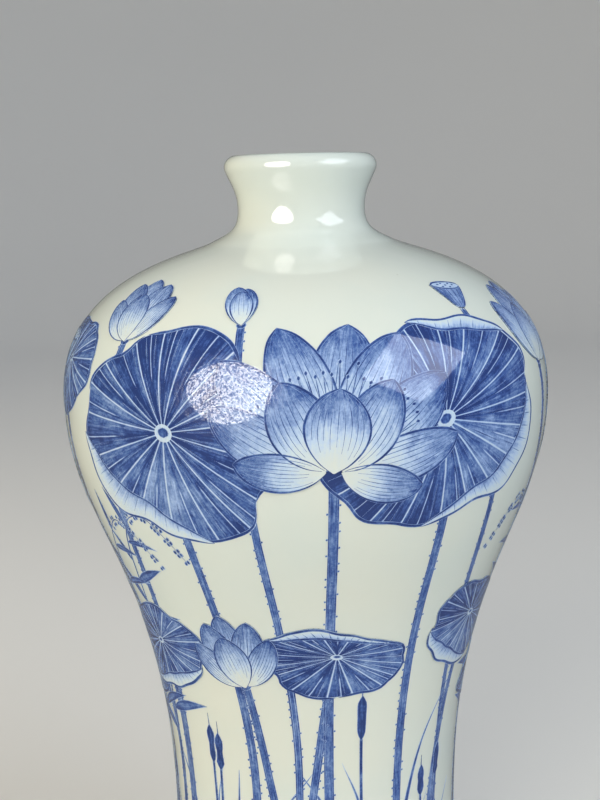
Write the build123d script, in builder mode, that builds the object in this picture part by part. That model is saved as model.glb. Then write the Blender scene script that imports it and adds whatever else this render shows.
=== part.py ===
# Meiping vase in glazed porcelain: a high round shoulder, a short neck with a rolled lip,
# a long drawn-in body and a slightly splayed foot. The paste is thrown in four sections that
# are luted with slip, and is then coated with glaze outside, inside and under the base.
# Millimetres, +Z up. The origin is the centre of the foot ring's resting face.

import os
from math import cos, radians, sin

from build123d import *

# Finished outside. Drops are measured down from the rim, heights up from the foot
height = 250.0
lip_radius = 21.8
lip_roll = 3.4
lip_flare = 23.4
neck_radius = 18.25
neck_drop = 15.25
root_radius = 26.2
root_drop = 24.45
root_slope = 26.5
belly_radius = 70.0
belly_drop = 67.3
waist_radius = 42.85
waist_height = 54.0
foot_radius = 46.4
foot_splay = 9.0

# Fullness of the outside between its stations, as shares of the chord
foot_to_waist = (0.33, 0.50)
waist_to_belly = (0.596, 0.295)
belly_to_root = (0.56, 0.134)
root_to_neck = (0.467, 0.488)
neck_to_lip = (0.412, 0.374)

# Wall and glaze
wall = 4.0
glaze = 0.35

# Finished inside: mouth, throat and floor
mouth_funnel = 26.0
throat_radius = 14.0
throat_top_drop = 9.0
throat_bottom_drop = 22.5
floor_height = 11.5
floor_radius = 27.0

# Fullness of the inside between its stations, as shares of the chord
mouth_to_throat = (0.40, 0.55)
throat_to_root = (0.45, 0.45)
waist_to_floor = (0.62, 0.40)

# Foot ring and the recess under the base
glaze_line = 3.4
foot_bevel = 1.5
foot_ring_width = 5.0
foot_edge_round = 0.6
recess_depth = 5.6
recess_fillet = 2.0
recess_glaze_line = 1.2

# Luting seams: where each lies, the slip in it and the ridge that it leaves inside
neck_seam_drop = 23.4
body_seam_height = 100.0
slip = 0.8
ridge_radius = 3.6
ridge_rise = 1.1

# Places that follow from the sizes above
reach = 2 * belly_radius
lip_centre = Vector(lip_radius - lip_roll, height - lip_roll)
ring_outer = foot_radius - foot_bevel
ring_inner = ring_outer - foot_ring_width
neck_seam_height = height - neck_seam_drop
belly_seam_height = height - belly_drop


def heading(degrees):
    """Unit direction at that angle from straight up, leaning outwards when positive."""
    return Vector(sin(radians(degrees)), cos(radians(degrees)))


def lip_point(inset, degrees):
    """Point on the lip's roll, at that angle anticlockwise from straight outwards."""
    turn = radians(degrees)
    return lip_centre + (lip_roll - inset) * Vector(cos(turn), sin(turn))


def outside_stations(inset):
    """Points of the outside from the foot to the lip, each with its heading, moved inwards by inset."""
    stations = [
        (Vector(foot_radius, glaze_line), heading(-foot_splay)),
        (Vector(waist_radius, waist_height), heading(0)),
        (Vector(belly_radius, height - belly_drop), heading(0)),
        (Vector(root_radius, height - root_drop), heading(root_slope - 90)),
        (Vector(neck_radius, height - neck_drop), heading(0)),
    ]
    moved = [(point + inset * Vector(-way.Y, way.X), way) for point, way in stations]
    return moved + [(lip_point(inset, -lip_flare), heading(lip_flare))]


def smooth_curve(start, end, fullness):
    """Curve between two stations, leaving the first and reaching the second along their headings."""
    chord = (end[0] - start[0]).length
    Bezier(
        start[0],
        start[0] + fullness[0] * chord * start[1],
        end[0] - fullness[1] * chord * end[1],
        end[0],
    )


def lip_arc(inset, start, end):
    """Stretch of the lip's roll between two angles."""
    ThreePointArc(*(lip_point(inset, turn) for turn in (start, (start + end) / 2, end)))


def outside_curves(inset):
    """The outside from the glaze line up to the start of the lip's roll."""
    stations = outside_stations(inset)
    shapes = (foot_to_waist, waist_to_belly, belly_to_root, root_to_neck, neck_to_lip)
    for start, end, fullness in zip(stations, stations[1:], shapes):
        smooth_curve(start, end, fullness)


def inside_curves(coat):
    """The inside from the lip's roll down to the middle of the floor, with coat on the paste."""
    bore = throat_radius + glaze - coat
    floor = floor_height - glaze + coat
    outside = outside_stations(glaze + wall + coat)
    waist, belly, root = ((point, -way) for point, way in outside[1:4])
    mouth = (lip_point(glaze - coat, 180 - mouth_funnel), heading(180 + mouth_funnel))
    throat_top = (Vector(bore, height - throat_top_drop), heading(180))
    throat_bottom = (Vector(bore, height - throat_bottom_drop), heading(180))
    floor_edge = (Vector(floor_radius, floor), heading(-90))
    smooth_curve(mouth, throat_top, mouth_to_throat)
    Line(throat_top[0], throat_bottom[0])
    smooth_curve(throat_bottom, root, throat_to_root)
    smooth_curve(root, belly, belly_to_root[::-1])
    smooth_curve(belly, waist, waist_to_belly[::-1])
    smooth_curve(waist, floor_edge, waist_to_floor)
    Line(floor_edge[0], (0, floor))


def keep_between(low, high):
    """Keeps what lies between two heights of the section being drawn."""
    with Locations((reach / 2, (low + high) / 2)):
        Rectangle(reach, high - low, mode=Mode.INTERSECT)


def keep_slip(level):
    """Keeps the slip's thickness of the section being drawn, at a seam."""
    keep_between(level - slip / 2, level + slip / 2)


# Half section of all the paste, before it is cut at the seams
with BuildSketch(Plane.XZ) as paste:
    with BuildLine():
        outside_curves(glaze)
        lip_arc(glaze, -lip_flare, 180 - mouth_funnel)
        inside_curves(0)
        Line((0, floor_height - glaze), (0, recess_depth + glaze))
        FilletPolyline(
            (0, recess_depth + glaze),
            (ring_inner, recess_depth + glaze),
            (ring_inner, 0),
            (ring_outer, 0),
            outside_stations(glaze)[0][0],
            radius=(recess_fillet, foot_edge_round, foot_edge_round),
        )
    make_face()

# Half section of the space inside the bare paste, closed just above the lip
with BuildSketch(Plane.XZ) as bare_hollow:
    with BuildLine():
        lip_arc(glaze, 90, 180 - mouth_funnel)
        inside_curves(0)
        Polyline(
            (0, floor_height - glaze),
            (0, height + glaze),
            (lip_centre.X, height + glaze),
            lip_point(glaze, 90),
        )
    make_face()

# Where the seams that keep a ridge meet the inside of the wall, moved out to the ridge's centre
ridge_centres = []
for level in (belly_seam_height, body_seam_height):
    level_line = Edge.make_line((0, 0, level), (reach, 0, level))
    crossing = bare_hollow.sketch.face().intersect(level_line)
    wall_radius = max(vertex.X for vertex in crossing.vertices())
    ridge_centres.append((wall_radius + ridge_radius - ridge_rise, level))

# Half sections of the ridges of slip that were pressed out on the inside of the wall
with BuildSketch(Plane.XZ) as ridges:
    with Locations(*ridge_centres):
        Circle(ridge_radius)
    add(bare_hollow.sketch_local, mode=Mode.INTERSECT)

# Half section of the finished space inside
with BuildSketch(Plane.XZ) as finished_hollow:
    with BuildLine():
        lip_arc(0, 90, 180 - mouth_funnel)
        inside_curves(glaze)
        Polyline(
            (0, floor_height),
            (0, height + glaze),
            (lip_centre.X, height + glaze),
            lip_point(0, 90),
        )
    make_face()
    with Locations(*ridge_centres):
        Circle(ridge_radius + glaze, mode=Mode.SUBTRACT)

# Neck with its rolled lip
with BuildPart() as neck_and_lip:
    with BuildSketch(Plane.XZ):
        add(paste.sketch_local)
        keep_between(neck_seam_height + slip / 2, height)
    revolve(axis=Axis.Z)

# Shoulder, from the neck's root to the widest girth
with BuildPart() as shoulder:
    with BuildSketch(Plane.XZ):
        add(paste.sketch_local)
        keep_between(belly_seam_height + slip / 2, neck_seam_height - slip / 2)
    revolve(axis=Axis.Z)

# Belly, from the widest girth down
with BuildPart() as belly:
    with BuildSketch(Plane.XZ):
        add(paste.sketch_local)
        keep_between(body_seam_height + slip / 2, belly_seam_height - slip / 2)
    revolve(axis=Axis.Z)

# Drawn-in lower wall with the floor, the turned recess and the bare foot ring
with BuildPart() as lower_body_and_foot:
    with BuildSketch(Plane.XZ):
        add(paste.sketch_local)
        keep_between(0, body_seam_height - slip / 2)
    revolve(axis=Axis.Z)

# Slip between the neck and the shoulder, wiped flush inside
with BuildPart() as neck_seam:
    with BuildSketch(Plane.XZ):
        add(paste.sketch_local)
        keep_slip(neck_seam_height)
    revolve(axis=Axis.Z)

# Slip between the shoulder and the belly, with its ridge
with BuildPart() as belly_seam:
    with BuildSketch(Plane.XZ):
        add(paste.sketch_local)
        keep_slip(belly_seam_height)
        add(ridges.sketch_local.faces().sort_by(Axis.Y)[-1])
    revolve(axis=Axis.Z)

# Slip between the belly and the lower wall, with its ridge
with BuildPart() as body_seam:
    with BuildSketch(Plane.XZ):
        add(paste.sketch_local)
        keep_slip(body_seam_height)
        add(ridges.sketch_local.faces().sort_by(Axis.Y)[0])
    revolve(axis=Axis.Z)

# Glaze outside, from the foot's glaze line to the crest of the lip
with BuildPart() as outer_glaze:
    with BuildSketch(Plane.XZ):
        with BuildLine():
            for inset in (0, glaze):
                outside_curves(inset)
                lip_arc(inset, -lip_flare, 90)
            Line(outside_stations(0)[0][0], outside_stations(glaze)[0][0])
            Line(lip_point(0, 90), lip_point(glaze, 90))
        make_face()
    revolve(axis=Axis.Z)

# Glaze inside, from the crest of the lip down over the ridges to the floor
with BuildPart() as inner_glaze:
    with BuildSketch(Plane.XZ):
        add(bare_hollow.sketch_local)
        add(finished_hollow.sketch_local, mode=Mode.SUBTRACT)
        add(ridges.sketch_local, mode=Mode.SUBTRACT)
    revolve(axis=Axis.Z)

# Glaze in the recess, stopping short of the resting face
with BuildPart() as base_glaze:
    with BuildSketch(Plane.XZ):
        with BuildLine():
            for coat in (0, glaze):
                FilletPolyline(
                    (0, recess_depth + glaze - coat),
                    (ring_inner - coat, recess_depth + glaze - coat),
                    (ring_inner - coat, recess_glaze_line),
                    radius=recess_fillet - coat,
                )
            Line((0, recess_depth), (0, recess_depth + glaze))
            Line((ring_inner - glaze, recess_glaze_line), (ring_inner, recess_glaze_line))
        make_face()
    revolve(axis=Axis.Z)

pieces = {
    "neck_and_lip": neck_and_lip,
    "shoulder": shoulder,
    "belly": belly,
    "lower_body_and_foot": lower_body_and_foot,
    "neck_seam": neck_seam,
    "belly_seam": belly_seam,
    "body_seam": body_seam,
    "outer_glaze": outer_glaze,
    "inner_glaze": inner_glaze,
    "base_glaze": base_glaze,
}
os.makedirs("parts", exist_ok=True)
for name, piece in pieces.items():
    piece.part.label = name
    export_step(piece.part, f"parts/{name}.step")
    print(name, round(piece.part.volume / 1000, 2), "cm3")
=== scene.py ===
import math

import bpy
import numpy as np
from mathutils import Matrix, Quaternion, Vector


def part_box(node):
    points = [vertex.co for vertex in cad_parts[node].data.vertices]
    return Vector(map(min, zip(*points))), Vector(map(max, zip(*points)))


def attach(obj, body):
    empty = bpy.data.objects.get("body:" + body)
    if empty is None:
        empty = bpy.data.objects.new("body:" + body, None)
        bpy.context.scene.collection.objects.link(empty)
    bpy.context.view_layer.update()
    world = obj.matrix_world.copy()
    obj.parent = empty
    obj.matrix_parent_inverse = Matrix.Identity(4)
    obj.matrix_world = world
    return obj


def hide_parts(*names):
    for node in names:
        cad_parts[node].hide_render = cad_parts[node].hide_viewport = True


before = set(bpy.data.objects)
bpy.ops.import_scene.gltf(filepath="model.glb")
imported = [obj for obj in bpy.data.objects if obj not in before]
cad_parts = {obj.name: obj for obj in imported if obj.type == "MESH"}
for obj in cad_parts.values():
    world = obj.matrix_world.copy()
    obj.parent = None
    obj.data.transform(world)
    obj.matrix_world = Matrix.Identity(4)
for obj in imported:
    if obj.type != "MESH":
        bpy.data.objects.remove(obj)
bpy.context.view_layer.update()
mm = 0.001
print("frame loaded:", sorted(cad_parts))

# The outside of the vase, in mm: drops from the rim, heights from the foot
wallShape = {
    "rim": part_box("outer_glaze")[1].z / mm,
    "bellyRadius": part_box("outer_glaze")[1].x / mm,
    "bellyDrop": 67.3,
    "rootRadius": 26.2,
    "rootDrop": 24.45,
    "rootSlope": 26.5,
    "neckRadius": 18.25,
    "neckDrop": 15.25,
    "lipRadius": 21.8,
    "lipRoll": 3.4,
    "lipFlare": 23.4,
    "waistRadius": 42.85,
    "waistHeight": 54.0,
    "footRadius": 46.4,
    "footHeight": 3.4,
    "footSplay": 9.0,
    "fullness": ((0.33, 0.50), (0.596, 0.295), (0.56, 0.134), (0.467, 0.488), (0.412, 0.374)),
    "rings": (26, 56, 50, 24, 16),
    "lipRings": 18,
}


def heading(degrees):
    return np.array([math.sin(math.radians(degrees)), math.cos(math.radians(degrees))])


def station(radius, height, degrees):
    return np.array([radius, height]), heading(degrees)


def smoothCurve(start, startWay, end, endWay, fullness, count):
    chord = np.linalg.norm(end - start)
    t = np.linspace(0, 1, count + 1)[:, None]
    near = start + fullness[0] * chord * startWay
    far = end - fullness[1] * chord * endWay
    return (1 - t) ** 3 * start + 3 * (1 - t) ** 2 * t * near + 3 * (1 - t) * t ** 2 * far + t ** 3 * end


def arcPoints(centre, radius, start, end, count):
    turn = np.linspace(start, end, count + 1)
    return np.array(centre) + radius * np.stack([np.cos(turn), np.sin(turn)], 1)


def lengthAlong(line):
    return np.concatenate([[0], np.cumsum(np.linalg.norm(np.diff(line, axis=0), axis=1))])


def unit(way):
    return way / np.linalg.norm(way, axis=-1)[..., None]


rimHeight, lipRoll = wallShape["rim"], wallShape["lipRoll"]
lipCentre = np.array([wallShape["lipRadius"] - lipRoll, rimHeight - lipRoll])
flare = math.radians(wallShape["lipFlare"])
lipFace = arcPoints(lipCentre, lipRoll, -flare, math.pi / 2, wallShape["lipRings"])
wallStations = [
    station(wallShape["footRadius"], wallShape["footHeight"], -wallShape["footSplay"]),
    station(wallShape["waistRadius"], wallShape["waistHeight"], 0),
    station(wallShape["bellyRadius"], rimHeight - wallShape["bellyDrop"], 0),
    station(wallShape["rootRadius"], rimHeight - wallShape["rootDrop"], wallShape["rootSlope"] - 90),
    station(wallShape["neckRadius"], rimHeight - wallShape["neckDrop"], 0),
    station(*lipFace[0], wallShape["lipFlare"]),
]
runs = []
for i, fullness in enumerate(wallShape["fullness"]):
    runs.append(smoothCurve(*wallStations[i], *wallStations[i + 1], fullness, wallShape["rings"][i])[:-1])
wallPoints = np.concatenate(runs + [lipFace])
wallLength = lengthAlong(wallPoints)
wallWay = unit(np.gradient(wallPoints, wallLength, axis=0))
wallOut = np.stack([wallWay[:, 1], -wallWay[:, 0]], 1)


def radiusAt(along):
    return np.interp(along, wallLength, wallPoints[:, 0])


def onWall(azimuth, along):
    # azimuth 0 is the front, and grows to the right
    radius = radiusAt(along)
    height = np.interp(along, wallLength, wallPoints[:, 1])
    outR, outZ = (np.interp(along, wallLength, wallOut[:, k]) for k in (0, 1))
    side, front = np.sin(azimuth), -np.cos(azimuth)
    point = np.stack([radius * side, radius * front, height], -1)
    return point, unit(np.stack([outR * side, outR * front, outZ], -1))


# Turned shells, spun from their section as on a wheel
spinning = {"weld": 0.002, "crease": 50}  # mm and degrees


def spinShell(name, line, turns, closed=False):
    mesh = bpy.data.meshes.new(name)
    edges = [(i, i + 1) for i in range(len(line) - 1)]
    if closed:
        edges.append((len(line) - 1, 0))
    mesh.from_pydata([(r * mm, 0, z * mm) for r, z in line], edges, [])
    piece = bpy.data.objects.new(name, mesh)
    bpy.context.scene.collection.objects.link(piece)
    bpy.ops.object.select_all(action="DESELECT")
    piece.select_set(True)
    bpy.context.view_layer.objects.active = piece
    bpy.ops.object.mode_set(mode="EDIT")
    bpy.ops.mesh.select_all(action="SELECT")
    bpy.ops.mesh.spin(steps=turns, angle=2 * math.pi, center=(0, 0, 0), axis=(0, 0, 1))
    bpy.ops.mesh.select_all(action="SELECT")
    bpy.ops.mesh.remove_doubles(threshold=spinning["weld"] * mm)
    bpy.ops.mesh.normals_make_consistent(inside=False)
    bpy.ops.object.mode_set(mode="OBJECT")
    bpy.ops.object.shade_smooth_by_angle(angle=math.radians(spinning["crease"]))
    return piece


outerCoat = {"thickness": 0.35, "turns": 224, "backEvery": 3}
back = (wallPoints - outerCoat["thickness"] * wallOut)[::-1]
back = np.concatenate([back[:1], back[1:-1:outerCoat["backEvery"]], back[-1:]])
outerGlaze = spinShell("glazeOutside", np.concatenate([wallPoints, back]), outerCoat["turns"], True)
print("outer coat:", len(outerGlaze.data.polygons), "faces")

innerCoat = {
    "wall": 4.0,
    "thickness": 0.35,
    "mouthFunnel": 26.0,
    "throatRadius": 14.0,
    "throatTopDrop": 9.0,
    "throatBottomDrop": 22.5,
    "floorHeight": 11.5,
    "floorRadius": 27.0,
    "fullness": {"mouth": (0.40, 0.55), "throat": (0.45, 0.45), "floor": (0.62, 0.40)},
    "ridges": (182.7, 100.0),
    "ridgeRadius": 3.6,
    "ridgeRise": 1.1,
    "ridgesBeyond": 20,
    "rings": {"lip": 10, "mouth": 10, "throat": 14, "shoulder": 36, "belly": 90, "floor": 26},
    "turns": 128,
}


def insideLine(shape, coat):
    # from the lip's crest down to the middle of the floor, with that much glaze on the paste
    inset = shape["thickness"] + shape["wall"] + coat
    moved = [(point + inset * np.array([-way[1], way[0]]), -way) for point, way in wallStations]
    waist, belly, root = moved[1:4]
    bore = shape["throatRadius"] + shape["thickness"] - coat
    floor = shape["floorHeight"] - shape["thickness"] + coat
    roll = lipRoll - shape["thickness"] + coat
    funnel, rings, full = shape["mouthFunnel"], shape["rings"], shape["fullness"]
    lip = arcPoints(lipCentre, roll, math.pi / 2, math.radians(180 - funnel), rings["lip"])
    mouth = (lip[-1], heading(180 + funnel))
    throatTop = station(bore, rimHeight - shape["throatTopDrop"], 180)
    throatBottom = station(bore, rimHeight - shape["throatBottomDrop"], 180)
    floorEdge = station(shape["floorRadius"], floor, -90)
    runs = [
        lip[:-1],
        smoothCurve(*mouth, *throatTop, full["mouth"], rings["mouth"])[:-1],
        throatTop[0][None, :],
        smoothCurve(*throatBottom, *root, full["throat"], rings["throat"])[:-1],
        smoothCurve(*root, *belly, wallShape["fullness"][2][::-1], rings["shoulder"])[:-1],
        smoothCurve(*belly, *waist, wallShape["fullness"][1][::-1], rings["belly"])[:-1],
        smoothCurve(*waist, *floorEdge, full["floor"], rings["floor"]),
        np.array([[0, floor]]),
    ]
    line = np.concatenate(runs)
    bare = line if coat == 0 else insideLine(shape, 0)
    radius = shape["ridgeRadius"] + coat
    for level in shape["ridges"]:
        seam = np.interp(level, bare[:-1][::-1, 1], bare[:-1][::-1, 0])
        rise = np.sqrt(np.maximum(radius ** 2 - (line[:, 1] - level) ** 2, 0))
        ridge = seam + shape["ridgeRadius"] - shape["ridgeRise"] - rise
        onRidge = (rise > 0) & (line[:, 0] > shape["ridgesBeyond"])
        line[:, 0] = np.where(onRidge, np.minimum(line[:, 0], ridge), line[:, 0])
    return line


face, back = insideLine(innerCoat, innerCoat["thickness"]), insideLine(innerCoat, 0)
innerGlaze = spinShell("glazeInside", np.concatenate([face[::-1], back]), innerCoat["turns"])

baseCoat = {
    "thickness": 0.35,
    "ringInside": 39.9,
    "depth": 5.6,
    "fillet": 2.0,
    "glazeLine": 1.2,
    "flatRings": 8,
    "filletRings": 6,
    "turns": 128,
}


def recessLine(shape, coat):
    fillet = shape["fillet"] - coat
    edge, top = shape["ringInside"] - coat, shape["depth"] + shape["thickness"] - coat
    flat = [(r, top) for r in np.linspace(0, edge - fillet, shape["flatRings"] + 1)[:-1]]
    corner = arcPoints((edge - fillet, top - fillet), fillet, math.pi / 2, 0, shape["filletRings"])
    return np.concatenate([flat, corner, [(edge, shape["glazeLine"])]])


face, back = recessLine(baseCoat, baseCoat["thickness"]), recessLine(baseCoat, 0)
baseGlaze = spinShell("glazeUnderBase", np.concatenate([face, back[::-1]]), baseCoat["turns"])
print("inner and base coats:", len(innerGlaze.data.polygons) + len(baseGlaze.data.polygons), "faces")


# Materials

def newMaterial(name):
    material = bpy.data.materials.new(name)
    material.use_nodes = True
    tree = material.node_tree
    tree.nodes.clear()
    shader = tree.nodes.new("ShaderNodeBsdfPrincipled")
    output = tree.nodes.new("ShaderNodeOutputMaterial")
    tree.links.new(shader.outputs["BSDF"], output.inputs["Surface"])
    return material, tree, shader


def setSockets(node, values):
    for name, value in values.items():
        node.inputs[name].default_value = value


def objectPlace(tree):
    return tree.nodes.new("ShaderNodeTexCoord").outputs["Object"]


def addMapping(tree, vector, scale):
    mapping = tree.nodes.new("ShaderNodeMapping")
    mapping.inputs["Scale"].default_value = scale
    tree.links.new(vector, mapping.inputs["Vector"])
    return mapping.outputs["Vector"]


def addNoise(tree, vector, scale, detail=3.0, roughness=0.5):
    noise = tree.nodes.new("ShaderNodeTexNoise")
    setSockets(noise, {"Scale": scale, "Detail": detail, "Roughness": roughness})
    tree.links.new(vector, noise.inputs["Vector"])
    return noise.outputs["Fac"]


def addRange(tree, value, low, high, toLow, toHigh):
    span = tree.nodes.new("ShaderNodeMapRange")
    setSockets(span, {"From Min": low, "From Max": high, "To Min": toLow, "To Max": toHigh})
    tree.links.new(value, span.inputs["Value"])
    return span.outputs["Result"]


def addMath(tree, kind, first, *others):
    for other in others:
        step = tree.nodes.new("ShaderNodeMath")
        step.operation = kind
        for i, value in enumerate((first, other)):
            if isinstance(value, (int, float)):
                step.inputs[i].default_value = value
            else:
                tree.links.new(value, step.inputs[i])
        first = step.outputs["Value"]
    return first


def addMix(tree, factor, first, second, kind="MIX"):
    mix = tree.nodes.new("ShaderNodeMix")
    mix.data_type = "RGBA"
    mix.blend_type = kind
    for name, value in (("Factor", factor), ("A", first), ("B", second)):
        socket = next(s for s in mix.inputs if s.name == name and s.enabled)
        if isinstance(value, (int, float)):
            socket.default_value = value
        elif isinstance(value, tuple):
            socket.default_value = (*value, 1)
        else:
            tree.links.new(value, socket)
    return next(s for s in mix.outputs if s.enabled)


def addBump(tree, height, depth, below=None, strength=1.0):
    bump = tree.nodes.new("ShaderNodeBump")
    setSockets(bump, {"Strength": strength, "Distance": depth * mm})
    tree.links.new(height, bump.inputs["Height"])
    if below is not None:
        tree.links.new(below, bump.inputs["Normal"])
    return bump.outputs["Normal"]


# scales are noise per metre, heights are shares of the relief, the relief is in mm
glazeLook = {
    "warm": (0.725, 0.755, 0.682),
    "cool": (0.680, 0.748, 0.720),
    "cloudScale": 14,
    "pooled": (0.640, 0.725, 0.690),
    "poolScale": 55,
    "poolShare": 0.35,
    "speck": (0.36, 0.33, 0.27),
    "speckScale": 75,
    "speckReach": (0.012, 0.03),
    "speckRarity": 0.72,
    "speckDepth": 0.55,
    "ringStretch": (8, 8, 120),
    "ringHeight": 0.30,
    "waveScale": 45,
    "waveHeight": 0.9,
    "peelScale": 620,
    "peelHeight": 0.03,
    "relief": 0.06,
    "dullScale": 90,
    "roughness": (0.06, 0.11),
    "sockets": {"Specular IOR Level": 0.25, "IOR": 1.5, "Coat Weight": 0.6, "Coat Roughness": 0.02},
}


def glazeColour(tree, place):
    look = glazeLook
    cloud = addRange(tree, addNoise(tree, place, look["cloudScale"], 2), 0.35, 0.65, 0, 1)
    colour = addMix(tree, cloud, look["warm"], look["cool"])
    pool = addRange(tree, addNoise(tree, place, look["poolScale"], 3), 0.55, 0.8, 0, look["poolShare"])
    colour = addMix(tree, pool, colour, look["pooled"])
    cells = tree.nodes.new("ShaderNodeTexVoronoi")
    cells.inputs["Scale"].default_value = look["speckScale"]
    tree.links.new(place, cells.inputs["Vector"])
    dot = addRange(tree, cells.outputs["Distance"], *look["speckReach"], 1, 0)
    rare = tree.nodes.new("ShaderNodeSeparateColor")
    tree.links.new(cells.outputs["Color"], rare.inputs["Color"])
    chosen = addMath(tree, "GREATER_THAN", rare.outputs["Red"], look["speckRarity"])
    speck = addMath(tree, "MULTIPLY", dot, chosen, look["speckDepth"])
    return addMix(tree, speck, colour, look["speck"])


def glazeSurface(tree, shader, place):
    # gloss of the coat: rings left by the wheel, slow waves and a fine orange peel
    look = glazeLook
    squashed = addMapping(tree, place, look["ringStretch"])
    rings = addMath(tree, "MULTIPLY", addNoise(tree, squashed, 1, 2), look["ringHeight"])
    waves = addMath(tree, "MULTIPLY", addNoise(tree, place, look["waveScale"], 2), look["waveHeight"])
    peel = addMath(tree, "MULTIPLY", addNoise(tree, place, look["peelScale"], 2), look["peelHeight"])
    normal = addBump(tree, addMath(tree, "ADD", rings, waves, peel), look["relief"])
    tree.links.new(normal, shader.inputs["Normal"])
    tree.links.new(normal, shader.inputs["Coat Normal"])
    dull = addRange(tree, addNoise(tree, place, look["dullScale"], 4), 0.3, 0.7, *look["roughness"])
    tree.links.new(dull, shader.inputs["Roughness"])
    setSockets(shader, look["sockets"])
    return normal


def makeGlaze():
    material, tree, shader = newMaterial("clearGlaze")
    place = objectPlace(tree)
    tree.links.new(glazeColour(tree, place), shader.inputs["Base Color"])
    glazeSurface(tree, shader, place)
    return material


pasteLook = {
    "dark": (0.70, 0.62, 0.50),
    "light": (0.78, 0.73, 0.64),
    "cloudScale": 60,
    "grit": (0.42, 0.33, 0.24),
    "gritScale": 1400,
    "gritShare": 0.5,
    "roughness": (0.62, 0.85),
    "reliefScale": 900,
    "relief": 0.12,
    "reliefStrength": 0.35,
}


def makePaste():
    material, tree, shader = newMaterial("barePorcelain")
    look, place = pasteLook, objectPlace(tree)
    cloud = addRange(tree, addNoise(tree, place, look["cloudScale"], 4), 0.35, 0.65, 0, 1)
    colour = addMix(tree, cloud, look["dark"], look["light"])
    grit = addRange(tree, addNoise(tree, place, look["gritScale"], 2), 0.62, 0.75, 0, look["gritShare"])
    tree.links.new(addMix(tree, grit, colour, look["grit"]), shader.inputs["Base Color"])
    rough = addRange(tree, grit, 0, look["gritShare"], *look["roughness"])
    tree.links.new(rough, shader.inputs["Roughness"])
    grains = addNoise(tree, place, look["reliefScale"], 4)
    normal = addBump(tree, grains, look["relief"], strength=look["reliefStrength"])
    tree.links.new(normal, shader.inputs["Normal"])
    return material


filmMarks = ("tone", "edge", "side")
cobaltLook = {
    "stops": (
        (0.00, (1.00, 1.00, 1.00)),
        (0.06, (0.88, 0.96, 1.14)),
        (0.13, (0.72, 0.86, 1.22)),
        (0.26, (0.42, 0.56, 1.02)),
        (0.42, (0.20, 0.31, 0.71)),
        (0.58, (0.090, 0.172, 0.54)),
        (0.76, (0.048, 0.098, 0.38)),
        (1.00, (0.034, 0.064, 0.27)),
    ),
    "dense": 0.88,
    "hairs": (1.5, 0.16, 1),
    "streaks": (0.56, 1.34),
    "cloudScale": 190,
    "clouds": (0.64, 1.32),
    "grainScale": 1500,
    "grains": (0.84, 1.22),
    "heapScale": 420,
    "heapDepth": 0.20,
    "poolReach": 1.0,
    "poolDepth": 0.20,
    "bleedReach": 0.32,
    "bleedLeft": 0.18,
    "sideLeft": 0.22,
    "pitDepth": 0.012,
    "pitScale": 2100,
    "pitFromTo": (0.47, 0.58),
    "coatIor": (1.5, 1.2),  # clean, and in a pit, which mirrors less
    "roughFromTo": (-0.012, 0.006),  # metres across, and the pits lie left of it
    "pitsElsewhere": 0.08,
    "sockets": {"Specular IOR Level": 0.0, "Coat Weight": 1.0, "Coat Roughness": 0.03},
}


def cobaltDensity(tree, place):
    look = cobaltLook
    marks = {}
    for name in filmMarks:
        node = tree.nodes.new("ShaderNodeAttribute")
        node.attribute_name = name
        marks[name] = node.outputs["Fac"]
    brush = tree.nodes.new("ShaderNodeUVMap")
    brush.uv_map = "brush"
    streak = addNoise(tree, addMapping(tree, brush.outputs["UV"], look["hairs"]), 1.0, 4, 0.6)
    cloud = addNoise(tree, place, look["cloudScale"], 4, 0.6)
    grain = addNoise(tree, place, look["grainScale"], 2, 0.6)
    density = marks["tone"]
    for noise, share in ((streak, "streaks"), (cloud, "clouds"), (grain, "grains")):
        density = addMath(tree, "MULTIPLY", density, addRange(tree, noise, 0.3, 0.72, *look[share]))
    # thick paint gathers along edges and in small dark heaps
    wet = addRange(tree, marks["tone"], 0.05, 0.4, 0, 1)
    pool = addRange(tree, marks["edge"], 0, look["poolReach"], look["poolDepth"], 0)
    heaps = addRange(tree, addNoise(tree, place, look["heapScale"], 3), 0.60, 0.74, 0, look["heapDepth"])
    gathered = addMath(tree, "MULTIPLY", addMath(tree, "ADD", pool, heaps), wet)
    density = addMath(tree, "ADD", density, gathered)
    # and bleeds a little into the glaze at the rim of each mark
    bleed = addRange(tree, marks["edge"], 0, look["bleedReach"], look["bleedLeft"], 1)
    across = addMath(tree, "MULTIPLY", marks["side"], marks["side"])
    thin = addRange(tree, across, 0.25, 1, 1, look["sideLeft"])
    return addMath(tree, "MULTIPLY", density, bleed, thin, look["dense"])


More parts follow.
